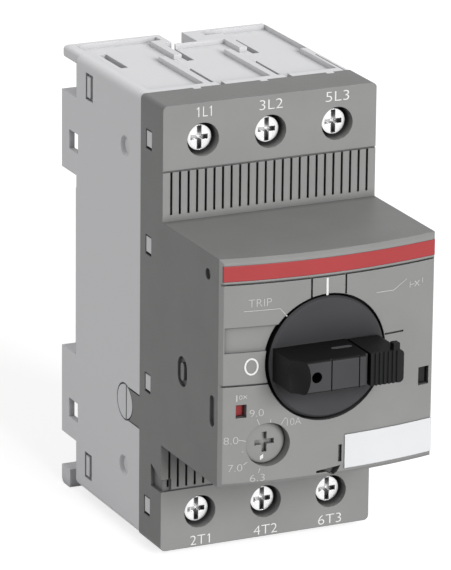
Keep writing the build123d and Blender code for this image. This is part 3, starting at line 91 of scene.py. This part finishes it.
def nose_depth(x):
    return NOSE_FRONT + NOSE_RADIUS - math.sqrt(NOSE_RADIUS**2 - x**2)


def dial_depth(x):
    return DIAL_FACE


# Node helpers

def feed(tree, value, socket):
    """Links a socket's value, or sets a plain one."""
    if isinstance(value, bpy.types.NodeSocket):
        tree.links.new(value, socket)
    else:
        socket.default_value = value


def maths(tree, operation, first, second):
    made = tree.nodes.new("ShaderNodeMath")
    made.operation = operation
    feed(tree, first, made.inputs[0])
    feed(tree, second, made.inputs[1])
    return made.outputs["Value"]


def mixed(tree, factor, first, second, kind="MIX"):
    """Mix of two colours, each a socket or a plain colour."""
    made = tree.nodes.new("ShaderNodeMix")
    made.data_type = "RGBA"
    made.blend_type = kind
    feed(tree, factor, made.inputs["Factor"])
    feed(tree, first, made.inputs["A"])
    feed(tree, second, made.inputs["B"])
    return made.outputs["Result"]


def noise(tree, place, scale, detail=2.0, stretch=None):
    """Noise on the piece's own coordinates, drawn out along an axis where asked."""
    if stretch:
        mapping = tree.nodes.new("ShaderNodeMapping")
        mapping.inputs["Scale"].default_value = stretch
        tree.links.new(place, mapping.inputs["Vector"])
        place = mapping.outputs["Vector"]
    made = tree.nodes.new("ShaderNodeTexNoise")
    made.inputs["Scale"].default_value = scale
    made.inputs["Detail"].default_value = detail
    tree.links.new(place, made.inputs["Vector"])
    return made.outputs["Fac"]


def spread(tree, value, low, high, start=0.3, end=0.7):
    """Maps a value from start and end to low and high, and the middle of a noise if not told."""
    made = tree.nodes.new("ShaderNodeMapRange")
    made.inputs["From Min"].default_value = start
    made.inputs["From Max"].default_value = end
    made.inputs["To Min"].default_value = low
    made.inputs["To Max"].default_value = high
    tree.links.new(value, made.inputs["Value"])
    return made.outputs["Result"]


def along_y(tree, vector):
    split = tree.nodes.new("ShaderNodeSeparateXYZ")
    tree.links.new(vector, split.inputs["Vector"])
    return split.outputs["Y"]


# Surfaces

def linear(colour):
    """Display colour out of 255 as linear light."""
    shares = [c / 255 for c in colour]
    return tuple(s / 12.92 if s <= 0.04045 else ((s + 0.055) / 1.055) ** 2.4 for s in shares)


def two_tone(tree, value, base, shift):
    """Drifts between a darker and a lighter shade of a colour."""
    dark = (*(c * (1 - shift) for c in base), 1)
    light = (*(min(1, c * (1 + shift)) for c in base), 1)
    return mixed(tree, spread(tree, value, 0, 1), dark, light)


def surface(name):
    """Empty node material: its tree, its shader and its texture coordinates."""
    made = bpy.data.materials.new(name)
    made.use_nodes = True
    tree = made.node_tree
    shader = next(n for n in tree.nodes if n.type == "BSDF_PRINCIPLED")
    place = tree.nodes.new("ShaderNodeTexCoord").outputs["Object"]
    return made, tree, shader, place


EDGE_SAMPLES = 6


def relief(tree, shader, heights, edge=0.0):
    """Bumps from fine to coarse over softly rounded edges."""
    normal = None
    if edge:
        rounding = tree.nodes.new("ShaderNodeBevel")
        rounding.samples = EDGE_SAMPLES
        rounding.inputs["Radius"].default_value = edge
        normal = rounding.outputs["Normal"]
    for value, depth, strength in heights:
        bump = tree.nodes.new("ShaderNodeBump")
        bump.inputs["Distance"].default_value = depth
        bump.inputs["Strength"].default_value = strength
        tree.links.new(value, bump.inputs["Height"])
        if normal:
            tree.links.new(normal, bump.inputs["Normal"])
        normal = bump.outputs["Normal"]
    tree.links.new(normal, shader.inputs["Normal"])


CAVITY_SAMPLES = 8


# Painted shade: the colour itself is darkened where nearby faces shut out the light.
def with_painted_shade(tree, colour, reach, depth):
    """Paints shade into a colour: darkens it by ambient occlusion in slots, gaps and recesses narrower
    than the reach.
    """
    cavity = tree.nodes.new("ShaderNodeAmbientOcclusion")
    cavity.samples = CAVITY_SAMPLES
    cavity.inputs["Distance"].default_value = reach
    open_share = maths(tree, "POWER", cavity.outputs["AO"], depth)
    return mixed(tree, 1.0, colour, open_share, "MULTIPLY")


CHAMFER_ALLOWANCE = -0.3
DISC_CLEARANCE = (0.2, 0.1)


def facing_front(tree, place, full, none):
    """Share of the front tone, from full at one turn of the face to none at another: the mask of the
    painted light and shade that sets front faces apart from the others.

    Behind the face of the handle's disc, chamfers and round walls are allowed for as well.
    """
    normal = along_y(tree, tree.nodes.new("ShaderNodeTexCoord").outputs["Normal"])
    bar_end, disc_start = (at(0, DISC_FACE - gap, 0).y for gap in DISC_CLEARANCE)
    allowance = spread(tree, along_y(tree, place), 0, CHAMFER_ALLOWANCE, bar_end, disc_start)
    return spread(tree, maths(tree, "ADD", normal, allowance), 1, 0, full, none)


CLOUDS = 90
FLOW = 260
FLOW_TO_GRAIN = 4
GRAIN_STRENGTH = 0.35
FLOW_STRENGTH = 0.12
FINE_DETAIL = 3
FLAT_FRONT = (-0.99, -0.96)
ROUND_FRONT = (-0.9, -0.31)
MATT_DRIFT = 0.06


def moulded(name, colour, rough, grain=0.22 * MM, depth=0.02 * MM, edge=0.2 * MM, shift=0.04,
            painted_side_tone=None, turned=FLAT_FRONT, reach=2 * MM, cavity=1.0, gloss=0.25):
    """Moulded plastic with a spark-eroded grain, faint clouds in its colour and its gloss.

    With a side tone, faces that aren't turned to the front have that colour instead, as painted light
    and shade by the turn of the face; recesses within the reach get painted shade as strong as cavity.
    """
    made, tree, shader, place = surface(name)
    clouds = noise(tree, place, CLOUDS, FINE_DETAIL)
    fine = noise(tree, place, 1 / grain, FINE_DETAIL)
    flow = noise(tree, place, FLOW)
    tone = two_tone(tree, clouds, linear(colour), shift)
    # Painted light and shade: faces turned away from the front take another tone than the front faces.
    if painted_side_tone:
        tone = mixed(tree, facing_front(tree, place, *turned), (*linear(painted_side_tone), 1), tone)
    tree.links.new(with_painted_shade(tree, tone, reach, cavity), shader.inputs["Base Color"])
    matt = spread(tree, fine, rough - MATT_DRIFT, rough + MATT_DRIFT)
    tree.links.new(matt, shader.inputs["Roughness"])
    shader.inputs["Specular IOR Level"].default_value = gloss
    relief(tree, shader, (
        (fine, depth, GRAIN_STRENGTH), (flow, depth * FLOW_TO_GRAIN, FLOW_STRENGTH),
    ), edge)
    return made


PATCHES = 300
LINE_DETAIL = 4
LINE_DEPTH = 0.012 * MM
LINE_STRENGTH = 0.4
BRIGHT_PATCH = 0.75
DULL_PATCH = 1.3
# Painted shade in the slots and recesses of metal parts: reach and strength of the darkening.
METAL_REACH = 1.3 * MM
METAL_CAVITY = 1.2


def metal(name, colour, rough, stretch=(1, 1, 1), scale=1800, edge=0.1 * MM, shift=0.1):
    """Metal with fine tool or drawing lines, patches of duller plating and painted shade in its slots.
    """
    made, tree, shader, place = surface(name)
    lines = noise(tree, place, scale, LINE_DETAIL, stretch)
    patches = noise(tree, place, PATCHES)
    shader.inputs["Metallic"].default_value = 1.0
    tone = two_tone(tree, lines, linear(colour), shift)
    tree.links.new(with_painted_shade(tree, tone, METAL_REACH, METAL_CAVITY), shader.inputs["Base Color"])
    gloss = spread(tree, patches, rough * BRIGHT_PATCH, rough * DULL_PATCH)
    tree.links.new(gloss, shader.inputs["Roughness"])
    relief(tree, shader, ((lines, LINE_DEPTH, LINE_STRENGTH),), edge)
    return made


INK_GRAIN = 2600
INK_THIN_SPOTS = 0.86
INK_DEPTH = 0.01 * MM
INK_STRENGTH = 0.3
INK_ROUGH = (0.45, 0.65)


def printed(name, colour):
    """Pad-printed ink: thin, slightly uneven in cover and gloss."""
    made, tree, shader, place = surface(name)
    base = linear(colour)
    cover = noise(tree, place, INK_GRAIN, FINE_DETAIL)
    worn = (*(c * INK_THIN_SPOTS for c in base), 1)
    ink = mixed(tree, spread(tree, cover, 0, 1), worn, (*base, 1))
    tree.links.new(ink, shader.inputs["Base Color"])
    tree.links.new(spread(tree, cover, *INK_ROUGH), shader.inputs["Roughness"])
    relief(tree, shader, ((cover, INK_DEPTH, INK_STRENGTH),))
    return made


# Finishes of the solids, by material slot, each with painted shade in its slots and recesses
POLISHED = 0.008 * MM
FINISHES = {
    # Painted shade: the base's faces turned to the front are a darker grey than its sides.
    "base_grey": moulded("light grey moulding", (194, 194, 196), 0.64, painted_side_tone=(240, 240, 242),
                         turned=ROUND_FRONT, cavity=0.5, gloss=0.18),
    "cover_grey": moulded("mid grey moulding", (125, 125, 124), 0.5, cavity=0.85),
    "stripe_red": moulded("red inlay", (150, 55, 57), 0.4, depth=POLISHED, shift=0.03),
    "label_white": moulded("white writing field", (198, 199, 201), 0.45, depth=POLISHED, shift=0.02),
    # Painted shade: the bar's top, sides and scoop and the disc's rim are near black, and the bar's
    # shade spreads 6 mm onto the disc.
    "handle_black": moulded("black handle moulding", (58, 58, 60), 0.5, shift=0.08,
                            painted_side_tone=(8, 8, 9), reach=6 * MM, gloss=0.15),
    "slide_black": moulded("black slide moulding", (13, 13, 14), 0.5, shift=0.1, gloss=0.18),
    "button_black": moulded("black key moulding", (22, 22, 23), 0.4, shift=0.1),
    "flag_red": moulded("red flag moulding", (168, 58, 62), 0.4),
    # Painted shade in the dial's cross slot and in the gap round the dial.
    "dial_grey": moulded("dial moulding", (126, 126, 125), 0.48, reach=0.7 * MM, cavity=1.3),
    "screw_steel": metal("nickel plated screw", (236, 236, 236), 0.3, scale=2600),
    "clamp_steel": metal("zinc plated clamp", (196, 198, 198), 0.34, stretch=(1, 1, 6)),
    "shaft_steel": metal("turned steel", (168, 168, 170), 0.3, stretch=(1, 8, 1)),
    "plate_steel": metal("stamped steel plate", (166, 167, 166), 0.38, stretch=(1, 1, 5)),
    "spring_steel": metal("drawn spring wire", (150, 150, 152), 0.3, stretch=(4, 4, 1)),
    "plunger_steel": metal("turned soft iron", (176, 176, 178), 0.3, stretch=(1, 1, 10)),
    "copper": metal("copper bar", (206, 130, 96), 0.32, stretch=(6, 1, 1)),
    "winding_copper": metal("enamelled copper wire", (176, 92, 48), 0.28, stretch=(1, 1, 14), scale=900),
    "bimetal": metal("rolled bimetal", (168, 160, 146), 0.4, stretch=(1, 1, 8)),
    "heater_wrap": moulded("woven heater wrap", (206, 196, 172), 0.8, grain=0.3 * MM,
                           depth=0.06 * MM, edge=0.1 * MM, shift=0.1),
    "inner_black": moulded("black thermoset", (40, 40, 42), 0.6, shift=0.1),
}
INK = printed("white print", (214, 214, 212))
SOFT_INK = printed("worn white print", (172, 172, 170))
DARK_INK = printed("grey print", (76, 76, 78))

for part in frame["record"]["subparts"]:
    cad = nodes[part["node"]]
    cad.data.materials.clear()
    cad.data.materials.append(FINISHES[part["material_slot"]])


# Pieces

def mesh_of(shape, name):
    """The mesh of a bmesh, which is freed."""
    mesh = bpy.data.meshes.new(name)
    shape.to_mesh(mesh)
    shape.free()
    return mesh


def piece(name, mesh, finish, body):
    """A finished piece at the origin that rides with a body."""
    made = bpy.data.objects.new(name, mesh)
    bpy.context.scene.collection.objects.link(made)
    mesh.materials.clear()
    mesh.materials.append(finish)
    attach(made, body)
    return made


# Print, drawn flat in millimetres as wide, high and thick, then laid on a face

PRINT = 0.03
LIFT = 0.005
HAIR = 0.15
THIN = -0.014


def thicken(shape):
    """Gives flat ink its thickness, upwards from the XY plane."""
    made = bmesh.ops.extrude_face_region(shape, geom=shape.faces[:])["geom"]
    raised = [v for v in made if isinstance(v, bmesh.types.BMVert)]
    bmesh.ops.translate(shape, vec=(0, 0, PRINT), verts=raised)
    bmesh.ops.recalc_face_normals(shape, faces=shape.faces[:])


def glyphs(words, width, height, x, up):
    """Letters of a stated width and height round a middle point."""
    letters = bpy.data.curves.new(words, "FONT")
    letters.body = words
    letters.extrude = PRINT / 2
    letters.offset = THIN
    holder = bpy.data.objects.new(words, letters)
    bpy.context.scene.collection.objects.link(holder)
    mesh = bpy.data.meshes.new_from_object(holder)
    shape = bmesh.new()
    shape.from_mesh(mesh)
    bpy.data.objects.remove(holder)
    bpy.data.meshes.remove(mesh)
    low, high = ([pick(v.co[k] for v in shape.verts) for k in (0, 1)] for pick in (min, max))
    middle = Vector(((low[0] + high[0]) / 2, (low[1] + high[1]) / 2, 0))
    size = Vector((width / (high[0] - low[0]), height / (high[1] - low[1]), 1))
    bmesh.ops.translate(shape, vec=-middle, verts=shape.verts[:])
    bmesh.ops.scale(shape, vec=size, verts=shape.verts[:])
    bmesh.ops.translate(shape, vec=(x, up, 0), verts=shape.verts[:])
    return shape


def ring(width, height, weight, x, up):
    """Oval ring line, as the O of a switch."""
    shape = bmesh.new()
    for inset in (0, weight):
        made = bmesh.ops.create_circle(shape, segments=40, radius=1)["verts"]
        size = Vector((width / 2 - inset, height / 2 - inset, 1))
        bmesh.ops.scale(shape, vec=size, verts=made)
    bmesh.ops.bridge_loops(shape, edges=shape.edges[:])
    bmesh.ops.translate(shape, vec=(x, up, 0), verts=shape.verts[:])
    thicken(shape)
    return shape


def line(start, end, weight=HAIR):
    """Straight printed line between two points."""
    start, end = Vector((*start, 0)), Vector((*end, 0))
    run = end - start
    shape = bmesh.new()
    bmesh.ops.create_grid(shape, x_segments=max(1, round(run.length)), y_segments=1, size=0.5)
    bmesh.ops.scale(shape, vec=(run.length, weight, 1), verts=shape.verts[:])
    turn = Matrix.Rotation(math.atan2(run.y, run.x), 3, "Z")
    bmesh.ops.rotate(shape, matrix=turn, verts=shape.verts[:])
    bmesh.ops.translate(shape, vec=(start + end) / 2, verts=shape.verts[:])
    thicken(shape)
    return shape


def upright(x, up, length, weight=HAIR):
    """Upright line round a middle point."""
    return line((x, up - length / 2), (x, up + length / 2), weight)


def cross(x, up, arm, weight=HAIR):
    """Two crossed slanting lines."""
    return [
        line((x - arm, up - arm), (x + arm, up + arm), weight),
        line((x - arm, up + arm), (x + arm, up - arm), weight),
    ]


def printing(name, marks, depth_at, finish, body="housing"):
    """Lays marks on a front face of a stated depth and joins them in one piece."""
    sheet = bmesh.new()
    for shape in marks:
        for v in shape.verts:
            v.co = at(v.co.x, depth_at(v.co.x) - LIFT - v.co.z, v.co.y)
        bmesh.ops.recalc_face_normals(shape, faces=shape.faces[:])
        mesh = mesh_of(shape, name)
        sheet.from_mesh(mesh)
        bpy.data.meshes.remove(mesh)
    return piece(name, mesh_of(sheet, name), finish, body)


# Terminal numbers, with the slanting flag of each figure 1
CODE = 1.95
FLAG = Vector((-0.38, -0.35))


def flag_of_one(x, up):
    top = Vector((x, up))
    return line(top, top + FLAG)


printing("terminal_numbers", [
    glyphs("1L1", width=2.8, height=CODE, x=-13.8, up=87.7),
    flag_of_one(x=-15.12, up=88.6),
    flag_of_one(x=-12.5, up=88.6),
    glyphs("3L2", width=4.9, height=CODE, x=0.05, up=87.6),
    glyphs("5L3", width=5.0, height=CODE, x=14.1, up=87.7),
    glyphs("2T1", width=4.2, height=CODE, x=-14.05, up=1.35),
    flag_of_one(x=-12.05, up=2.25),
    glyphs("4T2", width=5.1, height=CODE, x=0.0, up=1.35),
    glyphs("6T3", width=5.0, height=CODE, x=14.0, up=1.45),
], terminal_depth, INK)

# Switch positions, off and on
printing("switch_marks", [
    ring(width=2.75, height=3.4, weight=0.34, x=-16.45, up=45.55),
    upright(x=-1.52, up=59.8, length=3.4, weight=0.42),
], nose_depth, INK)


# Word, leader and numbers of the panel

def trip_leader():
    """Underline of the tripped position that turns down to the disc, thicker at its end."""
    bend, tip = (-11.0, 56.5), (-9.6, 54.85)
    return [line((-18.0, 56.5), bend), line(bend, tip), line((-10.2, 55.55), tip, weight=0.26)]


DIGIT = 1.4


def scale_numbers():
    return [
        glyphs("9.0", width=2.75, height=DIGIT, x=-15.33, up=36.32),
        glyphs("10A", width=2.85, height=DIGIT, x=-7.92, up=33.9),
        glyphs("8.0", width=2.8, height=DIGIT, x=-20.2, up=31.2),
        glyphs("7.0", width=2.75, height=DIGIT, x=-19.35, up=25.7),
        glyphs("6.3", width=2.9, height=DIGIT, x=-15.05, up=23.4),
    ]


def tick(degrees, inner, outer):
    """Mark of the dial's scale, at an angle from the top, clockwise."""
    turn = math.radians(degrees)
    ray = Vector((math.sin(turn), math.cos(turn)))
    middle = Vector(DIAL_AT)
    return line(middle + ray * inner, middle + ray * outer)


def scale_ticks():
    return [
        tick(-161, inner=4.8, outer=5.75),
        tick(-127, inner=5.05, outer=6.0),
        tick(-101, inner=4.9, outer=5.25),
        tick(-76, inner=4.5, outer=5.9),
        tick(-23, inner=4.5, outer=5.75),
        tick(5, inner=4.4, outer=5.0),
        tick(33, inner=4.5, outer=5.8),
        line((-9.9, 34.75), (-9.35, 34.75)),
    ]


def flag_sign():
    """Small sign over the window of the trip flag."""
    bar = upright(x=-19.2, up=39.5, length=1.3, weight=0.28)
    return [bar, ring(width=0.75, height=0.85, weight=HAIR, x=-18.45, up=39.65),
            *cross(x=-17.6, up=39.7, arm=0.35)]


def contact_sign():
    """Breaker sign at the upper right: an open contact, its crossed mark and a short bar."""
    foot, tip, stem = (12.8, 57.05), (15.7, 58.8), (16.5, 57.5)
    return [
        line((9.0, 57.15), foot),
        line(foot, tip),
        upright(*stem, length=1.2),
        line(stem, (17.6, 57.5)),
        *cross(x=18.1, up=57.5, arm=0.55, weight=0.2),
        upright(x=19.4, up=57.9, length=1.0),
    ]


printing("panel_print", [
    glyphs("TRIP", width=4.5, height=1.5, x=-14.9, up=57.98),
    *trip_leader(), *scale_numbers(), *scale_ticks(), *flag_sign(), *contact_sign(),
], nose_depth, SOFT_INK)


# Springs of round wire

WIRE_SIDES = 10
STEPS_A_TURN = 24


def coil(name, node, turns, wire):
    """Round wire wound in the place of a CAD spring, its foot on the fixed seat."""
    low, high = (Vector(corner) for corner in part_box(node))
    centre = (low + high) / 2
    radius = (high.x - low.x - wire) / 2
    rise = high.z - low.z - wire
    steps = turns * STEPS_A_TURN
    start = Vector((centre.x + radius, centre.y, low.z + wire / 2))
    shape = bmesh.new()
    bmesh.ops.create_circle(shape, segments=WIRE_SIDES, radius=wire / 2)
    on_edge = Matrix.Rotation(math.pi / 2, 3, "X")
    bmesh.ops.rotate(shape, matrix=on_edge, verts=shape.verts[:])
    bmesh.ops.translate(shape, vec=start, verts=shape.verts[:])
    bmesh.ops.spin(
        shape, geom=shape.edges[:], cent=Vector((centre.x, centre.y, start.z)), axis=Vector((0, 0, 1)),
        dvec=Vector((0, 0, rise / steps)), angle=2 * math.pi * turns, steps=steps,
    )
    bmesh.ops.remove_doubles(shape, verts=shape.verts[:], dist=wire * 0.01)
    bmesh.ops.holes_fill(shape, edges=[e for e in shape.edges if e.is_boundary])
    bmesh.ops.recalc_face_normals(shape, faces=shape.faces[:])
    for face in shape.faces:
        face.smooth = len(face.verts) == 4
    made = piece(name, mesh_of(shape, name), FINISHES["spring_steel"], "housing")
    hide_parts(node)
    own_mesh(made)


coil("opening_coil", "opening_spring", turns=4, wire=0.5 * MM)
coil("latch_coil", "latch_spring", turns=4, wire=0.5 * MM)


# Pointer of the dial, a slim diamond that leans towards the set value

def dial_pointer(width, length, lean, x, up):
    diamond = bmesh.new()
    bmesh.ops.create_circle(diamond, cap_ends=True, segments=4, radius=0.5)
    bmesh.ops.scale(diamond, vec=(width, length, 1), verts=diamond.verts[:])
    turn = Matrix.Rotation(-math.radians(lean), 3, "Z")
    bmesh.ops.rotate(diamond, matrix=turn, verts=diamond.verts[:])
    bmesh.ops.translate(diamond, vec=(x, up, 0), verts=diamond.verts[:])
    thicken(diamond)
    printing("dial_pointer", [diamond], dial_depth, INK, "dial")


dial_pointer(width=0.8, length=1.35, lean=28, x=-13.5, up=26.85)


# Long mark with round ends on the upper flank of the handle's bar

MIDLINE = 0.001


def handle_mark(length, width, x, depth):
    mark = bmesh.new()
    bmesh.ops.create_circle(mark, cap_ends=True, segments=24, radius=width / 2)
    for side in (1, -1):
        half = [v for v in mark.verts if v.co.x * side > MIDLINE]
        bmesh.ops.translate(mark, vec=(side * (length - width) / 2, 0, 0), verts=half)
    thicken(mark)
    for v in mark.verts:
        v.co = at(x + v.co.x, depth + v.co.y, BAR_TOP + LIFT + v.co.z)
    bmesh.ops.recalc_face_normals(mark, faces=mark.faces[:])
    piece("handle_mark", mesh_of(mark, "handle_mark"), DARK_INK, "handle")


handle_mark(length=4.2, width=1.0, x=-0.6, depth=-32.9)


# Floor and sky, white where they are seen and grey where they light the object

SEEN = ("Is Camera Ray", "Is Glossy Ray", "Is Transmission Ray")
WHITE = (1, 1, 1, 1)


def seen_share(tree):
    """1 for the rays that show the background, else 0."""
    path = tree.nodes.new("ShaderNodeLightPath")
    first, second, third = (path.outputs[kind] for kind in SEEN)
    return maths(tree, "MAXIMUM", maths(tree, "MAXIMUM", first, second), third)


def seen_or_lit(tree, seen, lit, kind):
    """Output that takes one shader for the rays that show it and another for light."""
    mix = tree.nodes.new("ShaderNodeMixShader")
    tree.links.new(seen_share(tree), mix.inputs[0])
    tree.links.new(lit, mix.inputs[1])
    tree.links.new(seen, mix.inputs[2])
    tree.links.new(mix.outputs[0], tree.nodes.new(kind).inputs[0])


def white_paper(tone, glow):
    """Grey in its own light, lifted to white where it is seen, with the shadow kept."""
    paper = bpy.data.materials.new("white paper")
    paper.use_nodes = True
    tree = paper.node_tree
    tree.nodes.clear()
    matt = tree.nodes.new("ShaderNodeBsdfDiffuse")
    matt.inputs["Color"].default_value = (tone, tone, tone, 1)
    glowing = tree.nodes.new("ShaderNodeEmission")
    glowing.inputs["Strength"].default_value = glow
    lifted = tree.nodes.new("ShaderNodeAddShader")
    tree.links.new(matt.outputs[0], lifted.inputs[0])
    tree.links.new(glowing.outputs[0], lifted.inputs[1])
    seen_or_lit(tree, lifted.outputs[0], matt.outputs[0], "ShaderNodeOutputMaterial")
    return paper


def floor(half_width, gap):
    """Level sheet just under the object."""
    shape = bmesh.new()
    bmesh.ops.create_grid(shape, x_segments=1, y_segments=1, size=half_width)
    bmesh.ops.translate(shape, vec=(0, 0, cad_box[0][2] - gap), verts=shape.verts[:])
    mesh = mesh_of(shape, "floor")
    mesh.materials.append(white_paper(tone=0.5, glow=0.74))
    made = bpy.data.objects.new("floor", mesh)
    bpy.context.scene.collection.objects.link(made)


def sky(tone, strength):
    """Even light from all round, seen as plain white."""
    world = bpy.data.worlds.new("studio")
    bpy.context.scene.world = world
    world.use_nodes = True
    tree = world.node_tree
    tree.nodes.clear()
    shown, light = (tree.nodes.new("ShaderNodeBackground") for _ in range(2))
    shown.inputs["Color"].default_value = WHITE
    shown.inputs["Strength"].default_value = 1.0
    light.inputs["Color"].default_value = (tone, tone, tone, 1)
    light.inputs["Strength"].default_value = strength
    seen_or_lit(tree, shown.outputs[0], light.outputs[0], "ShaderNodeOutputWorld")


floor(half_width=6, gap=0.02 * MM)
sky(tone=0.8, strength=0.42)


# Lamps

def sun(name, towards, strength, spread_deg):
    """Soft lamp far away in a direction from the object."""
    lamp = bpy.data.lights.new(name, "SUN")
    lamp.energy = strength
    lamp.angle = math.radians(spread_deg)
    holder = bpy.data.objects.new(name, lamp)
    holder.rotation_euler = Vector(towards).to_track_quat("Z", "Y").to_euler()
    bpy.context.scene.collection.objects.link(holder)


sun("key", towards=(0.12, -0.9, 0.335), strength=3.6, spread_deg=28)
sun("fill", towards=(-0.75, -0.5, 0.45), strength=0.35, spread_deg=60)

# Camera at the photograph's angle
AZIMUTH = math.radians(25.25)
ELEVATION = math.radians(17.80)
ROLL = math.radians(0.60)
STANDPOINT = Vector((-0.39025, -0.84944, 0.29323))
FRAME_HEIGHT = 570
FOCAL_PIXELS = 4898
SENSOR_HEIGHT = 24
NEAREST = 0.05
FARTHEST = 20


def level_axes():
    """Right, up and ahead of a camera that looks down on the object without a roll."""
    ahead = Vector((
        math.sin(AZIMUTH) * math.cos(ELEVATION),
        math.cos(AZIMUTH) * math.cos(ELEVATION),
        -math.sin(ELEVATION),
    ))
    right = Vector((math.cos(AZIMUTH), -math.sin(AZIMUTH), 0))
    return right, right.cross(ahead), ahead


def camera():
    lens = bpy.data.cameras.new("camera")
    lens.sensor_fit = "VERTICAL"
    lens.sensor_height = SENSOR_HEIGHT
    lens.lens = FOCAL_PIXELS / FRAME_HEIGHT * SENSOR_HEIGHT
    lens.clip_start = NEAREST
    lens.clip_end = FARTHEST
    right, up, ahead = level_axes()
    across = right * math.cos(ROLL) + up * math.sin(ROLL)
    upwards = up * math.cos(ROLL) - right * math.sin(ROLL)
    turn = Matrix((across, upwards, -ahead)).transposed().to_4x4()
    made = bpy.data.objects.new("camera", lens)
    made.matrix_world = Matrix.Translation(STANDPOINT) @ turn
    bpy.context.scene.collection.objects.link(made)
    return made


bpy.context.scene.camera = camera()
bpy.context.scene.view_settings.view_transform = "Standard"
